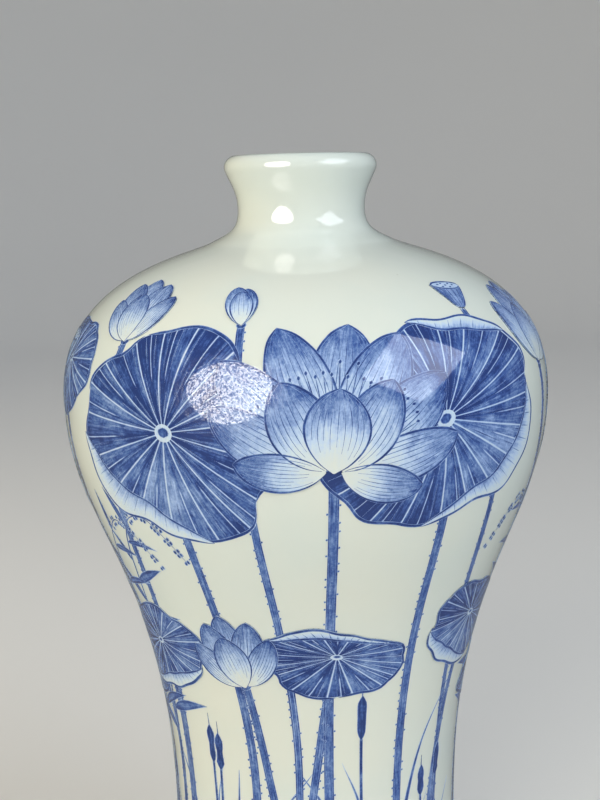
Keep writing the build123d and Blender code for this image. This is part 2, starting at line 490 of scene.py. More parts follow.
def makeCobalt():
    material, tree, shader = newMaterial("cobaltUnderGlaze")
    look, place = cobaltLook, objectPlace(tree)
    ground = glazeColour(tree, place)
    ramp = tree.nodes.new("ShaderNodeValToRGB")
    elements = ramp.color_ramp.elements
    for i, (stop, colour) in enumerate(look["stops"]):
        element = elements[i] if i < 2 else elements.new(stop)  # a new ramp has two stops
        element.position = stop
        element.color = (*colour, 1)
    tree.links.new(cobaltDensity(tree, place), ramp.inputs["Fac"])
    colour = addMix(tree, 1.0, ground, ramp.outputs["Color"], "MULTIPLY")
    tree.links.new(colour, shader.inputs["Base Color"])
    normal = glazeSurface(tree, shader, place)
    # fine pits in the glaze over the paint, mostly on the half that lies left from the front
    parts = tree.nodes.new("ShaderNodeSeparateXYZ")
    tree.links.new(place, parts.inputs["Vector"])
    rough = addRange(tree, parts.outputs["X"], *look["roughFromTo"], 1, look["pitsElsewhere"])
    pits = addRange(tree, addNoise(tree, place, look["pitScale"], 1), *look["pitFromTo"], 0, 1)
    pits = addMath(tree, "MULTIPLY", pits, rough)
    tree.links.new(addBump(tree, pits, look["pitDepth"], normal), shader.inputs["Coat Normal"])
    tree.links.new(addRange(tree, pits, 0, 1, *look["coatIor"]), shader.inputs["Coat IOR"])
    setSockets(shader, look["sockets"])
    return material


glazeMaterial = makeGlaze()
pasteMaterial = makePaste()
cobaltMaterial = makeCobalt()
print("materials made")

# Painting: every brush mark is a thin film that follows the wall, in mm
filmLook = {
    "sink": 0.06,
    "lift": 0.02,
    "layer": 0.016,
    "spacing": 1.25,
    "leastWidth": 0.10,
    "tip": 0.02,
    "tipRound": 0.7,
    "wobble": 0.22,
    "wobbles": 7,
    "rimless": 5.0,  # an edge so far off that nothing gathers or bleeds
    "mapGap": 0.003,
    "mapShrink": 0.97,
    "underMap": 0.7,
    "brushStep": 37.7,  # gives each mark its own streaks
}

# the order in which things are painted over one another
layers = {
    "mist": 0,
    "ripples": 0.5,
    "reeds": 1,
    "stems": 2,
    "calyx": 4,
    "stalks": 4.4,
    "sprayLeaves": 5,
    "drops": 5,
    "sprayBeads": 6.2,
    "farLeaves": 7,
    "nearLeaves": 12,
    "flowers": 17,
}


def addSheet(film, spot, x, y, tone, edge, layer, along, across, side=0.0):
    # x and y are mm on the wall from the spot, as grids of rows and columns
    height = spot[1] + y
    sheet = {"tone": tone, "edge": edge, "side": side, "along": along, "across": across}
    sheet = {name: np.broadcast_to(value, x.shape) for name, value in sheet.items()}
    sheet["azimuth"] = math.radians(spot[0]) + x / radiusAt(height)
    sheet["height"] = height
    sheet["lift"] = filmLook["lift"] + layer * filmLook["layer"]
    film.append(sheet)


def sheetFaces(rows, cols, start, flipped):
    grid = np.arange(rows * cols).reshape(rows, cols) + start
    top = np.stack([grid[:-1, :-1], grid[:-1, 1:], grid[1:, 1:], grid[1:, :-1]], -1).reshape(-1, 4)
    rim = np.concatenate([grid[0, :-1], grid[:-1, -1], grid[-1, :0:-1], grid[:0:-1, 0]])
    if flipped:
        top = top[:, ::-1]
        rim = rim[::-1]
    after = np.roll(rim, -1)
    under = rows * cols
    sides = np.stack([after, rim, rim + under, after + under], -1)
    return np.concatenate([top, top[:, ::-1] + under, sides])


def packSheets(sizes):
    # lays one rectangle for each sheet on the unit square, row by row, the tallest first
    order = sorted(range(len(sizes)), key=lambda k: -sizes[k][1])
    scale, fits = 1 / math.sqrt(sum(wide * tall for wide, tall in sizes)), False
    while not fits:
        scale *= filmLook["mapShrink"]
        x, y, row, corners = 0, 0, 0, {}
        for k in order:
            wide, tall = (scale * length + filmLook["mapGap"] for length in sizes[k])
            if x + wide > 1:
                x, y, row = 0, y + row, 0
            corners[k] = (x, y)
            x, row = x + wide, max(row, tall)
        fits = y + row <= 1
    return scale, corners


def sheetMaps(grids):
    sizes = []
    for point in grids:
        wide = np.linalg.norm(np.diff(point, axis=1), axis=-1).sum(1).max()
        tall = np.linalg.norm(np.diff(point, axis=0), axis=-1).sum(0).max()
        sizes.append((wide, tall))
    scale, corners = packSheets(sizes)
    places, gap = [], filmLook["mapGap"]
    for k, point in enumerate(grids):
        rows, cols = point.shape[:2]
        v, u = np.meshgrid(np.linspace(0, 1, rows), np.linspace(0, 1, cols), indexing="ij")
        square = np.stack([u, v], -1).reshape(-1, 2)
        top = np.array(corners[k]) + gap / 2 + scale * np.array(sizes[k]) * square
        under = top + (square - 0.5) * gap * filmLook["underMap"]  # a little wider, for the rim faces
        places += [top, under]
    return np.concatenate(places)


def makeFilm(name, film):
    grids, points, normals, faces, brush = [], [], [], [], []
    marks = {key: [] for key in filmMarks}
    start = 0
    for i, sheet in enumerate(film):
        azimuth, height = sheet["azimuth"], sheet["height"]
        point, normal = onWall(azimuth, height)
        rows, cols = azimuth.shape
        turn = np.diff(azimuth, axis=1)[:-1] * np.diff(height, axis=0)[:, :-1]
        turn = turn - np.diff(height, axis=1)[:-1] * np.diff(azimuth, axis=0)[:, :-1]
        grids.append(point)
        points.append((point + sheet["lift"] * normal).reshape(-1, 3))
        points.append((point - filmLook["sink"] * normal).reshape(-1, 3))
        normals += [normal.reshape(-1, 3), -normal.reshape(-1, 3)]
        faces.append(sheetFaces(rows, cols, start, turn.sum() < 0))
        for key, values in marks.items():
            values += [sheet[key].ravel()] * 2
        strip = np.stack([sheet["across"] + filmLook["brushStep"] * i, sheet["along"]], -1)
        brush += [strip.reshape(-1, 2)] * 2
        start += 2 * rows * cols
    points, normals, faces = np.concatenate(points) * mm, np.concatenate(normals), np.concatenate(faces)
    mesh = bpy.data.meshes.new(name)
    mesh.vertices.add(len(points))
    mesh.vertices.foreach_set("co", points.ravel())
    mesh.loops.add(faces.size)
    mesh.loops.foreach_set("vertex_index", faces.ravel())
    mesh.polygons.add(len(faces))
    mesh.polygons.foreach_set("loop_start", np.arange(0, faces.size, 4))
    mesh.polygons.foreach_set("use_smooth", np.ones(len(faces), bool))
    mesh.update(calc_edges=True)
    for key, values in marks.items():
        mark = mesh.attributes.new(key, "FLOAT", "POINT")
        mark.data.foreach_set("value", np.concatenate(values).astype(np.float32))
    for key, places in (("brush", np.concatenate(brush)), ("OFBake", sheetMaps(grids))):
        uvMap = mesh.uv_layers.new(name=key)
        uvMap.data.foreach_set("uv", places[faces.ravel()].astype(np.float32).ravel())
    mesh.normals_split_custom_set_from_vertices(normals)
    mesh.materials.append(cobaltMaterial)
    piece = bpy.data.objects.new(name, mesh)
    bpy.context.scene.collection.objects.link(piece)
    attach(piece, "root")
    print(name, len(film), "brush marks,", 2 * len(faces), "triangles")


def turned(x, y, degrees):
    turn = math.radians(degrees)
    return x * math.cos(turn) - y * math.sin(turn), x * math.sin(turn) + y * math.cos(turn)


def beside(line, way, across):
    # points off a line, to its right where across is positive
    return line[:, :1] + way[:, 1:] * across, line[:, 1:] - way[:, :1] * across


def swayed(x, sway, high, shape):
    return [(x + a * sway, b * high) for a, b in shape]


def curveThrough(knots):
    # even points along a smooth curve through the knots
    knots = np.asarray(knots, float)
    padded = np.concatenate([2 * knots[:1] - knots[1:2], knots, 2 * knots[-1:] - knots[-2:-1]])
    t = np.linspace(0, 1, 24, endpoint=False)[:, None]
    runs = []
    for i in range(len(knots) - 1):
        a, b, c, d = padded[i:i + 4]
        runs.append(0.5 * (2 * b + (c - a) * t + (2 * a - 5 * b + 4 * c - d) * t ** 2
                           + (3 * b - a - 3 * c + d) * t ** 3))
    line = np.concatenate(runs + [knots[-1:]])
    length = lengthAlong(line)
    count = max(4, int(length[-1] / filmLook["spacing"]) + 2)
    even = np.linspace(0, length[-1], count)
    return np.stack([np.interp(even, length, line[:, k]) for k in (0, 1)], 1), even


def brushOf(width, tone, taper, fade=0.0, columns=2, steady=False):
    # width and tone may be ranges, taper is a share of each end, fade is how much paler the end is
    return {"width": width, "tone": tone, "taper": taper, "fade": fade, "columns": columns, "steady": steady}


def drawn(value, rng):
    return rng.uniform(*value) if isinstance(value, tuple) else value


def stray(reach, rng):
    return rng.uniform(-reach, reach)


def addStroke(film, spot, knots, brush, layer, rng, scale=1.0):
    line, along = curveThrough(knots)
    width, tone = drawn(brush["width"], rng) * scale, drawn(brush["tone"], rng)
    way = unit(np.gradient(line, axis=0))
    t = along / along[-1]
    swell = np.ones(len(t))
    for share, taper in zip((t, 1 - t), brush["taper"]):
        swell *= np.minimum(1, share / taper + filmLook["tip"]) ** filmLook["tipRound"]
    if not brush["steady"]:
        wobble = rng.uniform(-1, 1, filmLook["wobbles"])
        swell *= 1 + filmLook["wobble"] * np.interp(t, np.linspace(0, 1, len(wobble)), wobble)
    half = np.maximum(width * swell, filmLook["leastWidth"])[:, None] / 2
    u = np.linspace(-1, 1, brush["columns"])[None, :]
    across = u * half
    x, y = beside(line, way, across)
    # a thin line fades to both sides, a broad one has a rim
    edge, side = (1.0, u) if brush["columns"] == 2 else (half - np.abs(across), 0.0)
    fading = (tone * (1 - brush["fade"] * t))[:, None]
    addSheet(film, spot, x, y, fading, edge, layer, along[:, None], across, side)


def roundGrid(columns, rows):
    # a square grid drawn in to a disc, with how far out each point lies in the square
    u, v = np.meshgrid(np.linspace(-1, 1, columns), np.linspace(-1, 1, rows))
    out = np.maximum(np.abs(u), np.abs(v))
    return u * np.sqrt(1 - v ** 2 / 2), v * np.sqrt(1 - u ** 2 / 2), out


def addBlob(film, spot, x, y, wide, tall, turn, tone, layer, count=4):
    u, v, out = roundGrid(count, count)
    edge = (1 - out) * max(min(wide, tall), 0.4)
    dx, dy = turned(wide * u, tall * v, turn)
    addSheet(film, spot, x + dx, y + dy, tone, edge, layer, dy, dx)


# Lotus leaves: washed fields between veins left pale
# gaps and brushes in mm, places as shares of the leaf
leafLook = {
    "leastVeins": 10,
    "veinEvery": 4,
    "veinSteps": (0.75, 1.25),
    "waves": ((2, 0.045), (3, 0.055), (5, 0.04), (9, 0.022), (14, 0.012)),
    "hub": 0.085,
    "hubShift": 0.06,
    "hubRise": 0.22,
    "hubDot": (0.055, 0.05),
    "hubTone": 0.8,
    "lightFrom": (0.6, 2.6),
    "ground": 0.13,
    "veinGap": 0.17,
    "forkGap": 0.10,
    "forkFrom": 0.45,
    "forkStray": 0.05,
    "toneStray": 0.22,
    "lightShare": 0.24,
    "paler": (0.45, 0.80),
    "hubDepth": 1.12,
    "middleFade": 0.48,
    "pleatShade": 0.42,
    "sideShade": 0.20,
    "hatch": brushOf(0.34, (0.8, 1.1), (0.3, 0.6), 0.3, steady=True),
    "rim": brushOf(0.85, 1.0, (0.12, 0.12)),
    "rimStrokes": 5,
    "rimBreak": 0.02,
    "curlEdge": 1.02,
    "curlTones": (0.06, 0.34),
    "fold": brushOf(0.70, 0.92, (0.15, 0.15)),
    "curlRim": brushOf(0.75, 0.92, (0.1, 0.1)),
    "curlRib": brushOf(0.36, 0.62, (0.1, 0.7), 0.3, steady=True),
}


def leafAt(azimuth, along, size, tall, turn, tone, layer, *curls):
    return {"azimuth": azimuth, "along": along, "size": size, "tall": tall, "turn": turn, "tone": tone,
            "layer": layers[layer], "curls": curls}


def spotOf(item):
    return item["azimuth"], item["along"]


def addLeafField(washes, leaf, spread, side, low, high, depth, paler):
    # the wash between a vein and the fork next to it
    look, size, room = leafLook, leaf["size"], high - low
    share = np.linspace(look["hub"], 0.99, max(6, int(size / filmLook["spacing"])))[:, None]
    vein = look["veinGap"] / 2 * (0.55 + 0.9 * share) / (share * size)
    fork = look["forkGap"] / 2 * np.clip((share - look["forkFrom"]) / 0.2, 0.02, 1) / (share * size)
    vein, fork = np.minimum(vein, 0.3 * room), np.minimum(fork, 0.3 * room)
    gapLow, gapHigh = (vein, fork) if side == 0 else (fork, vein)
    columns = max(3, int(room * size / filmLook["spacing"]) + 2)
    u = np.linspace(0, 1, columns)[None, :]
    x, y = spread((low + gapLow) * (1 - u) + (high - gapHigh) * u, share + 0 * u)
    span = (room - vein - fork) * share * size
    pleat = u if side == 0 else 1 - u
    fromFork = (1 - pleat) * span + 0.5 * np.clip((look["forkFrom"] - share) / 0.1 + 1, 0, 1)
    edge = np.minimum(np.minimum(pleat * span, fromFork), (1 - share) * size + 0.3)
    # dark at the hub and again towards the rim, paler in between, with the pleats shaded to one side
    middle = np.sin(math.pi * np.clip((share - 0.12) / 0.98, 0, 1)) ** 1.6
    ring = look["hubDepth"] - paler * middle * look["middleFade"]
    tone = depth * ring * (1 + look["pleatShade"] * (pleat - 0.5) + look["sideShade"] * (side - 0.5))
    addSheet(washes, spotOf(leaf), x, y, tone, edge, leaf["layer"] + 1, share * size, (u - 0.5) * span)


def addLeafCurl(washes, lines, leaf, spread, curl, rng):
    # edge that turns over and shows the pale underside
    look, spot, size, layer = leafLook, spotOf(leaf), leaf["size"], leaf["layer"] + 3
    centre, reach, depth = curl
    count = int(reach * size / 30 / filmLook["spacing"]) + 6
    turn = np.radians(np.linspace(centre - reach, centre + reach, count))
    fold = depth * np.cos(np.linspace(-math.pi / 2, math.pi / 2, count)) ** 0.8 + 0.004
    u = np.linspace(0, 1, 6)[:, None]
    x, y = spread(turn + 0 * u, look["curlEdge"] - fold * u)
    low, rise = look["curlTones"]
    tone, across = low + rise * u ** 2, turn * size
    addSheet(washes, spot, x, y, tone, filmLook["rimless"], layer, 3 * u, across)
    for brush, inwards in (("fold", fold), ("curlRim", 0 * turn)):
        knots = np.stack(spread(turn, look["curlEdge"] - inwards), 1)
        addStroke(lines, spot, knots, look[brush], layer + 1, rng)
    for at in np.linspace(0.10, 0.90, max(5, int(reach / 4))):
        spoke = np.full(3, np.interp(at, np.linspace(0, 1, count), turn))
        bite = depth * math.sin(math.pi * at) ** 0.8 * np.array([0.95, 0.60, rng.uniform(0.1, 0.4)])
        knots = np.stack(spread(spoke, look["curlEdge"] - bite), 1)
        addStroke(lines, spot, knots, look["curlRib"], layer + 1, rng)


def addLeaf(washes, lines, leaf, seed):
    rng = np.random.default_rng(seed)
    look, spot, size, layer = leafLook, spotOf(leaf), leaf["size"], leaf["layer"]
    veins = int(look["leastVeins"] + size / look["veinEvery"])
    steps = rng.uniform(*look["veinSteps"], veins)
    cuts = np.concatenate([[0], np.cumsum(steps)]) * 2 * math.pi / steps.sum() + rng.uniform(0, 1)
    waves = [(k, rng.uniform(0, 2 * math.pi), a) for k, a in look["waves"]]
    hubX, hubY = stray(look["hubShift"], rng), look["hubRise"] * (1.1 - leaf["tall"])
    light = drawn(look["lightFrom"], rng)

    def spread(turn, share):
        rim = 1 + share ** 2 * sum(a * np.sin(k * turn + phase) for k, phase, a in waves)
        x = size * share * rim * np.cos(turn) + hubX * size * (1 - share)
        y = leaf["tall"] * size * share * rim * np.sin(turn) + hubY * size * (1 - share)
        return turned(x, y, leaf["turn"])

    # ground that hides what passes behind the leaf
    count = max(8, int(2 * size / filmLook["spacing"]))
    u, v = roundGrid(count, count)[:2]
    x, y = spread(np.arctan2(v, u), np.hypot(u, v))
    addSheet(washes, spot, x, y, look["ground"], filmLook["rimless"], layer, y, x)

    for k in range(veins):
        fork = 0.5 * (cuts[k] + cuts[k + 1]) + stray(look["forkStray"], rng)
        depth = 1 + stray(look["toneStray"], rng) + look["lightShare"] * math.cos(fork - light)
        paler = drawn(look["paler"], rng)
        for side, (low, high) in enumerate(((cuts[k], fork), (fork, cuts[k + 1]))):
            addLeafField(washes, leaf, spread, side, low, high, leaf["tone"] * depth, paler)
            for inner, outer in ((0.16, rng.uniform(0.4, 0.7)), (rng.uniform(0.55, 0.75), 0.97)):
                at = low + (high - low) * rng.uniform(0.25, 0.75)
                knots = np.stack(spread(np.full(4, at), np.linspace(inner, outer, 4)), 1)
                addStroke(lines, spot, knots, look["hatch"], layer + 2, rng)

    # brushed rim, broken where the brush was lifted
    starts = np.sort(rng.uniform(0, 2 * math.pi, look["rimStrokes"]))
    for low, high in zip(starts, [*starts[1:], starts[0] + 2 * math.pi]):
        count = max(6, int((high - low) * size / 3))
        turn = np.linspace(low + look["rimBreak"], high - look["rimBreak"], count)
        knots = np.stack(spread(turn, 1.0 + 0.012 * np.sin(3 * turn)), 1)
        addStroke(lines, spot, knots, look["rim"], layer + 2, rng)
    wide, tall = look["hubDot"]
    addBlob(lines, spot, *spread(0.0, 0.0), wide * size, tall * size * leaf["tall"], leaf["turn"],
            look["hubTone"], layer + 2)
    for curl in leaf["curls"]:
        addLeafCurl(washes, lines, leaf, spread, curl, rng)


# Lotus blossoms: graded petals in outline, the front ones over the back ones
petalLook = {
    "outline": brushOf(0.66, 1.0, (0.5, 0.05)),
    "vein": brushOf(0.30, 0.66, (0.6, 0.3), steady=True),
    "veins": (-0.78, -0.60, -0.42, -0.22, 0.0, 0.22, 0.42, 0.60, 0.78),
    "allVeinsFrom": 18,
    "lightest": 0.55,
    "heavier": 80,
    "leanStray": 4,
    "lengthStray": (0.95, 1.05),
    "widthStray": (0.94, 1.06),
    "shape": (0.82, 0.74),
    "paleTone": 0.03,
    "deepTones": (0.80, 1.02),
    "grade": 2.2,
    "rim": 0.25,
    "calyx": ((0.045, 0.7), (0.04, 0.5)),
    "calyxTone": 0.72,
}


def petalLine(petal, t):
    lean = math.radians(petal["lean"])
    up = np.array([math.sin(lean), math.cos(lean)])
    side = np.array([up[1], -up[0]])
    bend = petal["bend"] * petal["length"]
    line = np.array(petal["base"]) + t[:, None] * petal["length"] * up + (bend * t ** 2)[:, None] * side
    return line, unit(up * petal["length"] + (2 * bend * t)[:, None] * side)


def petalHalf(petal, t):
    a, b = petal["shape"]
    peak = (a / (a + b)) ** a * (b / (a + b)) ** b
    half = petal["width"] / 2 * np.clip(t, 0, 1) ** a * np.clip(1 - t, 0, 1) ** b / peak
    return half[:, None]


def petalRun(petal, u, start, end, count):
    # line from base to tip, at that share of the half width
    t = np.linspace(start, end, count)
    return np.hstack(beside(*petalLine(petal, t), u * petalHalf(petal, t)))


def addPetal(washes, lines, spot, petal, layer, rng):
    rows = max(8, int(petal["length"] / filmLook["spacing"]) + 2)
    columns = max(5, int(petal["width"] / filmLook["spacing"]) + 2)
    t = np.linspace(0.004, 0.996, rows)
    half = np.maximum(petalHalf(petal, t), 0.05)
    u = np.linspace(-1, 1, columns)[None, :]
    x, y = beside(*petalLine(petal, t), u * half)
    low, high = petal["tones"]
    tone = (low + (high - low) * t[:, None] ** petal["grade"]) * (0.80 + 0.34 * np.abs(u) ** 1.6)
    edge = half * (1 - np.abs(u)) + petal["rim"]
    addSheet(washes, spot, x, y, tone, edge, layer, t[:, None] * petal["length"], u * half)
    if petal["weight"] > 0:
        for sign in (-1, 1):
            knots = petalRun(petal, sign, rng.uniform(0.0, 0.03), 1.0, 14)
            addStroke(lines, spot, knots, petalLook["outline"], layer + 1, rng, petal["weight"])
    for u in petal["veins"]:
        knots = petalRun(petal, u, rng.uniform(0.12, 0.40), rng.uniform(0.84, 0.97), 9)
        addStroke(lines, spot, knots, petalLook["vein"], layer + 1, rng, max(petal["weight"], 0.7))


# lean in degrees from upright, length, width, bend and foot as shares of the blossom, and row
openPetals = (
    (0, 0.98, 0.46, 0.00, (0.00, 0.06), 0),
    (-26, 0.96, 0.44, 0.03, (-0.03, 0.05), 1),
    (27, 0.95, 0.44, -0.03, (0.03, 0.05), 1),
    (-52, 0.95, 0.40, 0.10, (-0.05, 0.03), 2),
    (54, 0.94, 0.40, -0.10, (0.05, 0.03), 2),
    (-80, 0.86, 0.34, 0.20, (-0.06, 0.00), 3),
    (82, 0.85, 0.34, -0.20, (0.06, 0.00), 3),
    (-106, 0.62, 0.26, 0.22, (-0.05, -0.01), 5),
    (107, 0.60, 0.26, -0.22, (0.05, -0.01), 5),
    (-38, 0.68, 0.40, 0.14, (-0.05, 0.00), 5),
    (39, 0.67, 0.40, -0.14, (0.05, 0.00), 5),
    (2, 0.58, 0.44, 0.00, (0.00, -0.02), 6),
)
halfPetals = (
    (0, 1.00, 0.44, 0.00, (0.00, 0.05), 0),
    (-20, 0.96, 0.42, 0.08, (-0.03, 0.03), 1),
    (21, 0.95, 0.42, -0.08, (0.03, 0.03), 1),
    (-46, 0.80, 0.34, 0.18, (-0.05, 0.00), 2),
    (48, 0.78, 0.34, -0.18, (0.05, 0.00), 2),
    (-6, 0.74, 0.46, 0.03, (0.00, -0.02), 3),
)
budPetals = (
    (-7, 1.00, 0.44, 0.06, (-0.02, 0.00), 0),
    (8, 0.96, 0.42, -0.06, (0.02, 0.00), 0),
    (0, 0.90, 0.44, 0.00, (0.00, -0.02), 2),
)


def blossomAt(azimuth, along, size, turn, petals):
    return {"azimuth": azimuth, "along": along, "size": size, "turn": turn, "petals": petals}


def addBlossom(washes, lines, blossom, seed):
    rng = np.random.default_rng(seed)
    look, spot, size, turn = petalLook, spotOf(blossom), blossom["size"], blossom["turn"]
    for lean, length, width, bend, base, row in blossom["petals"]:
        petal = {
            "lean": lean + turn + stray(look["leanStray"], rng),
            "length": length * size * drawn(look["lengthStray"], rng),
            "width": width * size * drawn(look["widthStray"], rng),
            "bend": bend,
            "base": turned(base[0] * size, base[1] * size, -turn),
            "shape": look["shape"],
            "tones": (look["paleTone"], drawn(look["deepTones"], rng)),
            "grade": look["grade"],
            "rim": look["rim"],
            "weight": min(1.0, look["lightest"] + size / look["heavier"]),
            "veins": look["veins"] if size > look["allVeinsFrom"] else look["veins"][1::2],
        }
        addPetal(washes, lines, spot, petal, layers["flowers"] + 2 * row, rng)
    if blossom["petals"] is openPetals:
        addStamens(lines, blossom, rng)
    wide, tall = (share * size + least for share, least in look["calyx"])
    addBlob(washes, spot, 0, 0, wide, tall, -turn, look["calyxTone"], layers["calyx"], 5)


stamenLook = {
    "count": 25,
    "lean": 58,
    "root": 0.2,
    "reach": (0.60, 0.74),
    "droop": 0.0012,
    "thread": brushOf(0.36, 0.7, (0.2, 0.2), steady=True),
    "tip": (0.50, 0.70),
    "tipTone": 0.95,
}


def addStamens(lines, blossom, rng):
    look, spot, size, layer = stamenLook, spotOf(blossom), blossom["size"], layers["flowers"] + 8
    for lean in np.linspace(-look["lean"], look["lean"], look["count"]):
        turn = math.radians(lean + blossom["turn"])
        up = np.array([math.sin(turn), math.cos(turn)])
        tip = up * size * drawn(look["reach"], rng) * (1 - look["droop"] * abs(lean))
        addStroke(lines, spot, [up * look["root"] * size, tip], look["thread"], layer, rng)
        addBlob(lines, spot, *tip, *look["tip"], -lean - blossom["turn"], look["tipTone"], layer + 1, 3)


# Seed pods: a ribbed cup with seeds in its flat top, as shares of the pod
podLook = {
    "foot": 0.09,
    "widening": 0.41,
    "height": 0.85,
    "sag": 0.10,
    "tones": (0.32, 0.30),
    "ribs": (-0.6, -0.2, 0.2, 0.6),
    "rib": brushOf(0.34, 0.85, (0.1, 0.1)),
    "side": brushOf(0.56, 0.85, (0.1, 0.1)),
    "top": (0.50, 0.15),
    "topTone": 0.16,
    "topRim": brushOf(0.56, 0.92, (0.05, 0.05)),
    "seeds": (
        (0, 0), (-0.26, 0.02), (0.26, 0.02),
        (-0.13, -0.07), (0.13, -0.07), (-0.13, 0.07), (0.13, 0.07),
    ),
    "seed": (0.06, 0.036),
    "seedTone": 0.9,
}


def podAt(azimuth, along, size, turn):
    return {"azimuth": azimuth, "along": along, "size": size, "turn": turn}


def addPod(washes, lines, pod, seed):
    rng = np.random.default_rng(seed)
    look, spot, size, turn, layer = podLook, spotOf(pod), pod["size"], pod["turn"], layers["flowers"]

    def cup(u, t):
        half = size * (look["foot"] + look["widening"] * t ** 0.75)
        return turned(u * half, size * (look["height"] * t - look["sag"] * (1 - u ** 2) * t), turn), half

    t = np.linspace(0, 1, 10)[:, None]
    u = np.linspace(-1, 1, 9)[None, :]
    (x, y), half = cup(u, t)
    pale, shade = look["tones"]
    edge = half * (1 - np.abs(u)) + 0.2
    addSheet(washes, spot, x, y, pale + shade * np.abs(u), edge, layer, t * size, u * half)
    for u in (-1, *look["ribs"], 1):
        knots = np.stack(cup(u, np.linspace(0, 0.98, 8))[0], 1)
        addStroke(lines, spot, knots, look["side" if abs(u) == 1 else "rib"], layer + 1, rng)
    wide, tall = look["top"]
    x, y = turned(0, look["height"] * size, turn)
    addBlob(washes, spot, x, y, wide * size, tall * size, turn, look["topTone"], layer + 2, 8)
    a = np.linspace(0, 2 * math.pi, 18)
    knots = turned(wide * size * np.cos(a), look["height"] * size + tall * size * np.sin(a), turn)
    addStroke(lines, spot, np.stack(knots, 1), look["topRim"], layer + 3, rng)
    wide, tall = look["seed"]
    for across, up in look["seeds"]:
        x, y = turned(across * size, (look["height"] + up) * size, turn)
        addBlob(lines, spot, x, y, wide * size, tall * size, turn, look["seedTone"], layer + 3, 3)


# Stems, from a leaf or flower down to the water
stemLook = {
    "root": 20,
    "leastWidth": 1.3,
    "slender": 40,
    "sway": 8,
    "start": 0.02,
    "knots": ((0.5, 0.3), (1, 0.65), (0.6, 1)),
    "wash": brushOf(1.0, 0.64, (0.004, 0.04), 0.1, 5),
    "side": brushOf(0.44, 0.86, (0.01, 0.05)),
    "thorn": (0.32, 0.36),
    "thornOut": 0.72,
    "thornTone": 0.9,
}


def addStem(washes, lines, item, sway, seed):
    rng = np.random.default_rng(seed)
    look, spot, layer = stemLook, spotOf(item), layers["stems"]
    width = look["leastWidth"] + item["size"] / look["slender"]
    knots = [(0, look["start"] * item["size"])]
    knots += swayed(0, sway, look["root"] - item["along"], look["knots"])
    addStroke(washes, spot, knots, look["wash"], layer, rng, width)
    line = curveThrough(knots)[0]
    way = unit(np.gradient(line, axis=0))
    for sign in (-1, 1):
        edge = np.hstack(beside(line, way, sign * width / 2))
        addStroke(lines, spot, edge[::2], look["side"], layer + 1, rng)
    for point, ahead in zip(line[2:-2:2], way[2:-2:2]):
        out = rng.choice([-1, 1]) * width * look["thornOut"]
        x, y = point[0] + out * ahead[1], point[1] - out * ahead[0]
        addBlob(lines, spot, x, y, *look["thorn"], 0, look["thornTone"], layer + 2, 3)


# Sprays of smartweed: a nodding stem with narrow leaves and a string of beads
sprayLook = {
    "root": 18,
    "knots": ((0, 0), (-2, 0.30), (0, 0.58), (4, 0.80), (10, 0.94), (18, 1.0), (25, 0.98), (31, 0.91)),
    "stem": brushOf(0.95, 0.95, (0.01, 0.6)),
    "leaves": 11,
    "leavesFromTo": (0.40, 0.84),
    "leafLengths": (15, 21),
    "leafTurns": (30, 58),
    "leafWidths": (0.15, 0.20),
    "leafBends": (0.12, 0.28),
    "leafShape": (0.62, 1.05),
    "leafTones": ((0.85, 1.05), (0.65, 0.85)),
    "beads": 14,
    "beadsFrom": 0.86,
    "bead": (0.50, 0.66),
    "beadOut": (0.75, 1.05),
    "beadTurn": 40,
    "beadTones": (0.7, 1.0),
}


def addSpray(washes, lines, azimuth, size, lean, seed):
    rng = np.random.default_rng(seed)
    look, spot = sprayLook, (azimuth, sprayLook["root"])
    line = curveThrough(np.array(look["knots"]) * (lean, size))[0]
    way = unit(np.gradient(line, axis=0))
    addStroke(lines, spot, line[::6], look["stem"], layers["stalks"], rng)
    for k, at in enumerate(np.linspace(*look["leavesFromTo"], look["leaves"])):
        i = int(at * (len(line) - 1))
        side = 1 if k % 2 else -1
        length = drawn(look["leafLengths"], rng) * (1.35 - 0.75 * at)
        ahead = math.degrees(math.atan2(way[i, 0], way[i, 1]))
        petal = {
            "lean": ahead + side * drawn(look["leafTurns"], rng),
            "length": length,
            "width": length * drawn(look["leafWidths"], rng),
            "bend": side * drawn(look["leafBends"], rng),
            "base": tuple(line[i]),
            "shape": look["leafShape"],
            "tones": tuple(drawn(tones, rng) for tones in look["leafTones"]),
            "grade": 1.0,
            "rim": 0.0,
            "weight": 0,
            "veins": (),
        }
        addPetal(washes, lines, spot, petal, layers["sprayLeaves"] + 0.6 * (k % 2), rng)
    for at in np.linspace(look["beadsFrom"], 1.0, look["beads"]):
        i = int(at * (len(line) - 1))
        narrowing = 1.25 - 0.6 * (at - look["beadsFrom"]) / (1 - look["beadsFrom"])
        for side in (-1, 1):
            out = side * drawn(look["beadOut"], rng) * narrowing
            x, y = line[i, 0] + out * way[i, 1], line[i, 1] - out * way[i, 0]
            turn, tone = stray(look["beadTurn"], rng), drawn(look["beadTones"], rng)
            addBlob(lines, spot, x, y, *look["bead"], turn, tone, layers["sprayBeads"])


# Clumps of reeds: blades, and stalks with a dark head
reedLook = {
    "root": 14,
    "blades": 7,
    "spread": 8,
    "tall": (58, 72, 86),
    "bladeHeights": (0.55, 1.0),
    "bladeLean": 0.25,
    "bladeKnots": ((0, 0), (0.15, 0.4), (0.5, 0.78), (1, 1)),
    "blade": brushOf((1.6, 2.6), (0.7, 1.0), (0.25, 0.75), 0.15, 4),
    "headPlaces": 0.7,
    "headHeights": (1.0, 1.2),
    "headSway": 4,
    "stalkKnots": ((0, 0), (0.4, 0.5), (1, 1)),
    "stalk": brushOf(0.9, 0.9, (0.02, 0.2), steady=True),
    "headKnots": ((0.74, 0.80), (0.86, 0.90), (0.93, 0.955)),
    "head": brushOf(2.6, 1.0, (0.2, 0.2), 0, 5),
}


